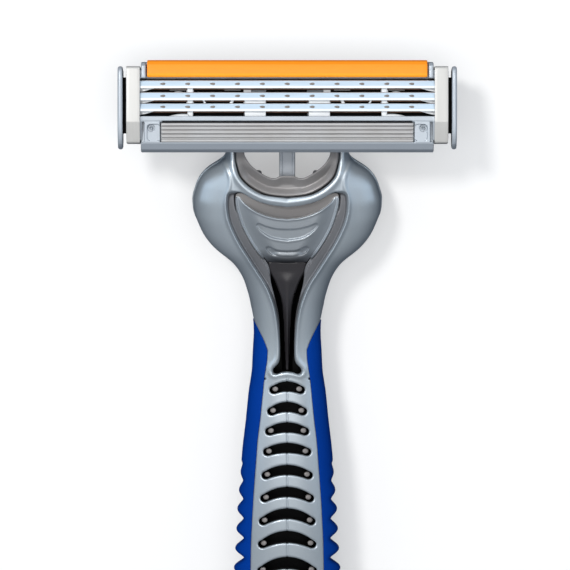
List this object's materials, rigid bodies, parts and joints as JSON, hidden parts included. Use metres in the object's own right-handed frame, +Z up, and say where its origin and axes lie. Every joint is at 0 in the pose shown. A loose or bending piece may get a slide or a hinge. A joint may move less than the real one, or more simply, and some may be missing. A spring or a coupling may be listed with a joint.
{
  "type": "cartridge razor",
  "caption": "Wet-shaving razor: pivoting bladed cartridge with lubricating strip on a spring-loaded yoke, thumb release, arched handle with soft side grips.",
  "frame": {"origin": "centre of the bounding box in plan, at the plane the razor rests on when laid on its back", "axes": "+Y along the handle towards the cartridge, +Z up out of the front of the handle, +X across the cartridge"},
  "size_m": [0.042, 0.1381, 0.0117],
  "materials": {
    "silver_plastic": "satin metallic-look moulding",
    "head_plastic": "satin grey moulding",
    "black_plastic": "matte black",
    "blue_grip": "soft-touch blue elastomer",
    "frame_plastic": "satin grey moulding",
    "guard_rubber": "light grey elastomer",
    "strip_orange": "waxy orange lubricating polymer",
    "clip_metal": "satin bent strip",
    "blade_steel": "ground and coated stainless edge",
    "support_steel": "stamped stainless",
    "spring_steel": "drawn wire"
  },
  "bodies": {
    "handle": {"front_shell": "silver_plastic", "back_shell": "silver_plastic", "core_inlay": "black_plastic", "grip_left": "blue_grip", "grip_right": "blue_grip", "back_grip_pad": "blue_grip", "butt_cap": "head_plastic", "plunger_spring": "spring_steel", "button_spring": "spring_steel"},
    "button": {"release_button": "head_plastic", "ejector": "black_plastic"},
    "plunger": {"plunger": "head_plastic"},
    "yoke": {"yoke": "head_plastic"},
    "cartridge": {"cartridge_housing": "frame_plastic", "blade_carrier": "black_plastic", "guard_strip": "guard_rubber", "lubricating_strip": "strip_orange", "end_clip_left": "clip_metal", "end_clip_right": "clip_metal", "spring_finger_1_left": "frame_plastic", "spring_finger_1_right": "frame_plastic", "spring_finger_2_left": "frame_plastic", "spring_finger_2_right": "frame_plastic", "spring_finger_3_left": "frame_plastic", "spring_finger_3_right": "frame_plastic"},
    "blade_unit_1": {"blade_1": "blade_steel", "blade_support_1": "support_steel"},
    "blade_unit_2": {"blade_2": "blade_steel", "blade_support_2": "support_steel"},
    "blade_unit_3": {"blade_3": "blade_steel", "blade_support_3": "support_steel"}
  },
  "joints": [
    {"name": "yoke_dock", "type": "slide", "parent": "handle", "child": "yoke", "axis": [0, 1, 0], "range_m": [0, 0.013]},
    {"name": "cartridge_pivot", "type": "hinge", "parent": "yoke", "child": "cartridge", "pos_m": [0, 0.05945, 0.00888], "axis": [-1, 0, 0], "range_deg": [0, 40], "stiffness_Nm_per_rad": 0.02, "springref_deg": -34.38},
    {"name": "plunger_slide", "type": "slide", "parent": "handle", "child": "plunger", "axis": [0, -1, 0], "range_m": [0, 0.0022], "deforming": ["plunger_spring"]},
    {"name": "release_slide", "type": "slide", "parent": "handle", "child": "button", "axis": [0, 1, 0], "range_m": [0, 0.0012], "stiffness_N_per_m": 900, "springref_m": -0.0015, "deforming": ["button_spring"]},
    {"name": "blade_float_1", "type": "slide", "parent": "cartridge", "child": "blade_unit_1", "axis": [0, -0.342, -0.9397], "range_m": [0, 0.0003], "stiffness_N_per_m": 400, "springref_m": -0.0003, "deforming": ["spring_finger_1_left", "spring_finger_1_right"]},
    {"name": "blade_float_2", "type": "slide", "parent": "cartridge", "child": "blade_unit_2", "axis": [0, -0.342, -0.9397], "range_m": [0, 0.0003], "stiffness_N_per_m": 400, "springref_m": -0.0003, "deforming": ["spring_finger_2_left", "spring_finger_2_right"]},
    {"name": "blade_float_3", "type": "slide", "parent": "cartridge", "child": "blade_unit_3", "axis": [0, -0.342, -0.9397], "range_m": [0, 0.0003], "stiffness_N_per_m": 400, "springref_m": -0.0003, "deforming": ["spring_finger_3_left", "spring_finger_3_right"]}
  ],
  "couplings": [
    {"joint": "plunger_slide", "follows": "cartridge_pivot", "m_per_rad": 0.0031}
  ]
}
